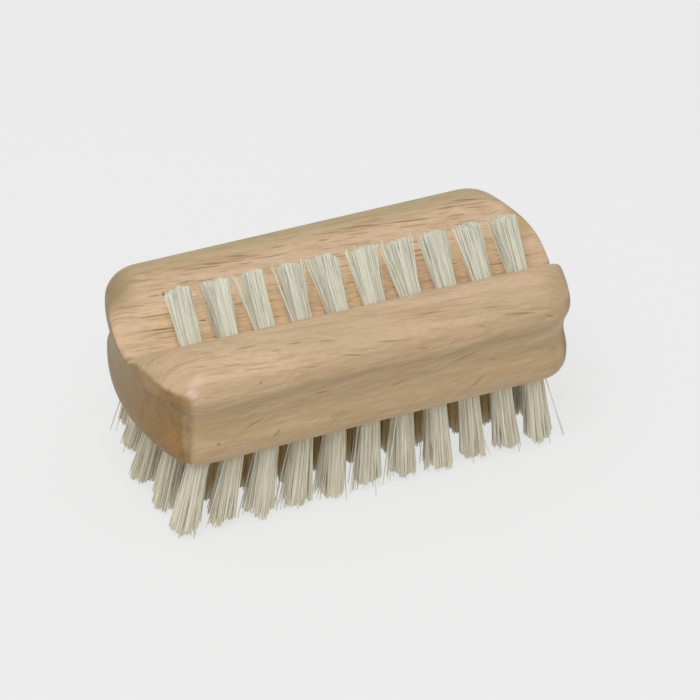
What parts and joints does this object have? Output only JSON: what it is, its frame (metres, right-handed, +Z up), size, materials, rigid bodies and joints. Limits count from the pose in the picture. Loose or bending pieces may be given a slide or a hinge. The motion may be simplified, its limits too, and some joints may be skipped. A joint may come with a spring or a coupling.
{
  "type": "nail brush",
  "caption": "Two-sided wooden nail brush: a grooved, bow-ended block with a bristle field for scrubbing below and a leaning row of bristle tufts in a channel on top.",
  "frame": {"origin": "centre of the block in plan, at the height of the lower bristle tips that it stands on", "axes": "+X along the block, +Z up to the leaning top row, -Y is the side that the channel lies nearer to"},
  "size_m": [0.095, 0.047, 0.0468],
  "materials": {
    "beech": "satin, fine sanded",
    "bristle": "dull, natural plant fibre",
    "wire": "drawn flat wire"
  },
  "bodies": {
    "root": {"block": "beech", "middle_row_tufts": "bristle", "top_tuft_01": "bristle", "top_tuft_02": "bristle", "top_tuft_03": "bristle", "top_tuft_04": "bristle", "top_tuft_05": "bristle", "top_tuft_06": "bristle", "top_tuft_07": "bristle", "top_tuft_08": "bristle", "top_tuft_09": "bristle", "top_tuft_10": "bristle", "front_tuft_01": "bristle", "front_tuft_02": "bristle", "front_tuft_03": "bristle", "front_tuft_04": "bristle", "front_tuft_05": "bristle", "front_tuft_06": "bristle", "front_tuft_07": "bristle", "front_tuft_08": "bristle", "front_tuft_09": "bristle", "front_tuft_10": "bristle", "front_tuft_11": "bristle", "front_inner_tuft_01": "bristle", "front_inner_tuft_02": "bristle", "front_inner_tuft_03": "bristle", "front_inner_tuft_04": "bristle", "front_inner_tuft_05": "bristle", "front_inner_tuft_06": "bristle", "front_inner_tuft_07": "bristle", "front_inner_tuft_08": "bristle", "front_inner_tuft_09": "bristle", "front_inner_tuft_10": "bristle", "front_inner_tuft_11": "bristle", "back_inner_tuft_01": "bristle", "back_inner_tuft_02": "bristle", "back_inner_tuft_03": "bristle", "back_inner_tuft_04": "bristle", "back_inner_tuft_05": "bristle", "back_inner_tuft_06": "bristle", "back_inner_tuft_07": "bristle", "back_inner_tuft_08": "bristle", "back_inner_tuft_09": "bristle", "back_inner_tuft_10": "bristle", "back_inner_tuft_11": "bristle", "back_tuft_01": "bristle", "back_tuft_02": "bristle", "back_tuft_03": "bristle", "back_tuft_04": "bristle", "back_tuft_05": "bristle", "back_tuft_06": "bristle", "back_tuft_07": "bristle", "back_tuft_08": "bristle", "back_tuft_09": "bristle", "back_tuft_10": "bristle", "back_tuft_11": "bristle", "top_anchors": "wire", "lower_anchors": "wire"}
  },
  "joints": []
}
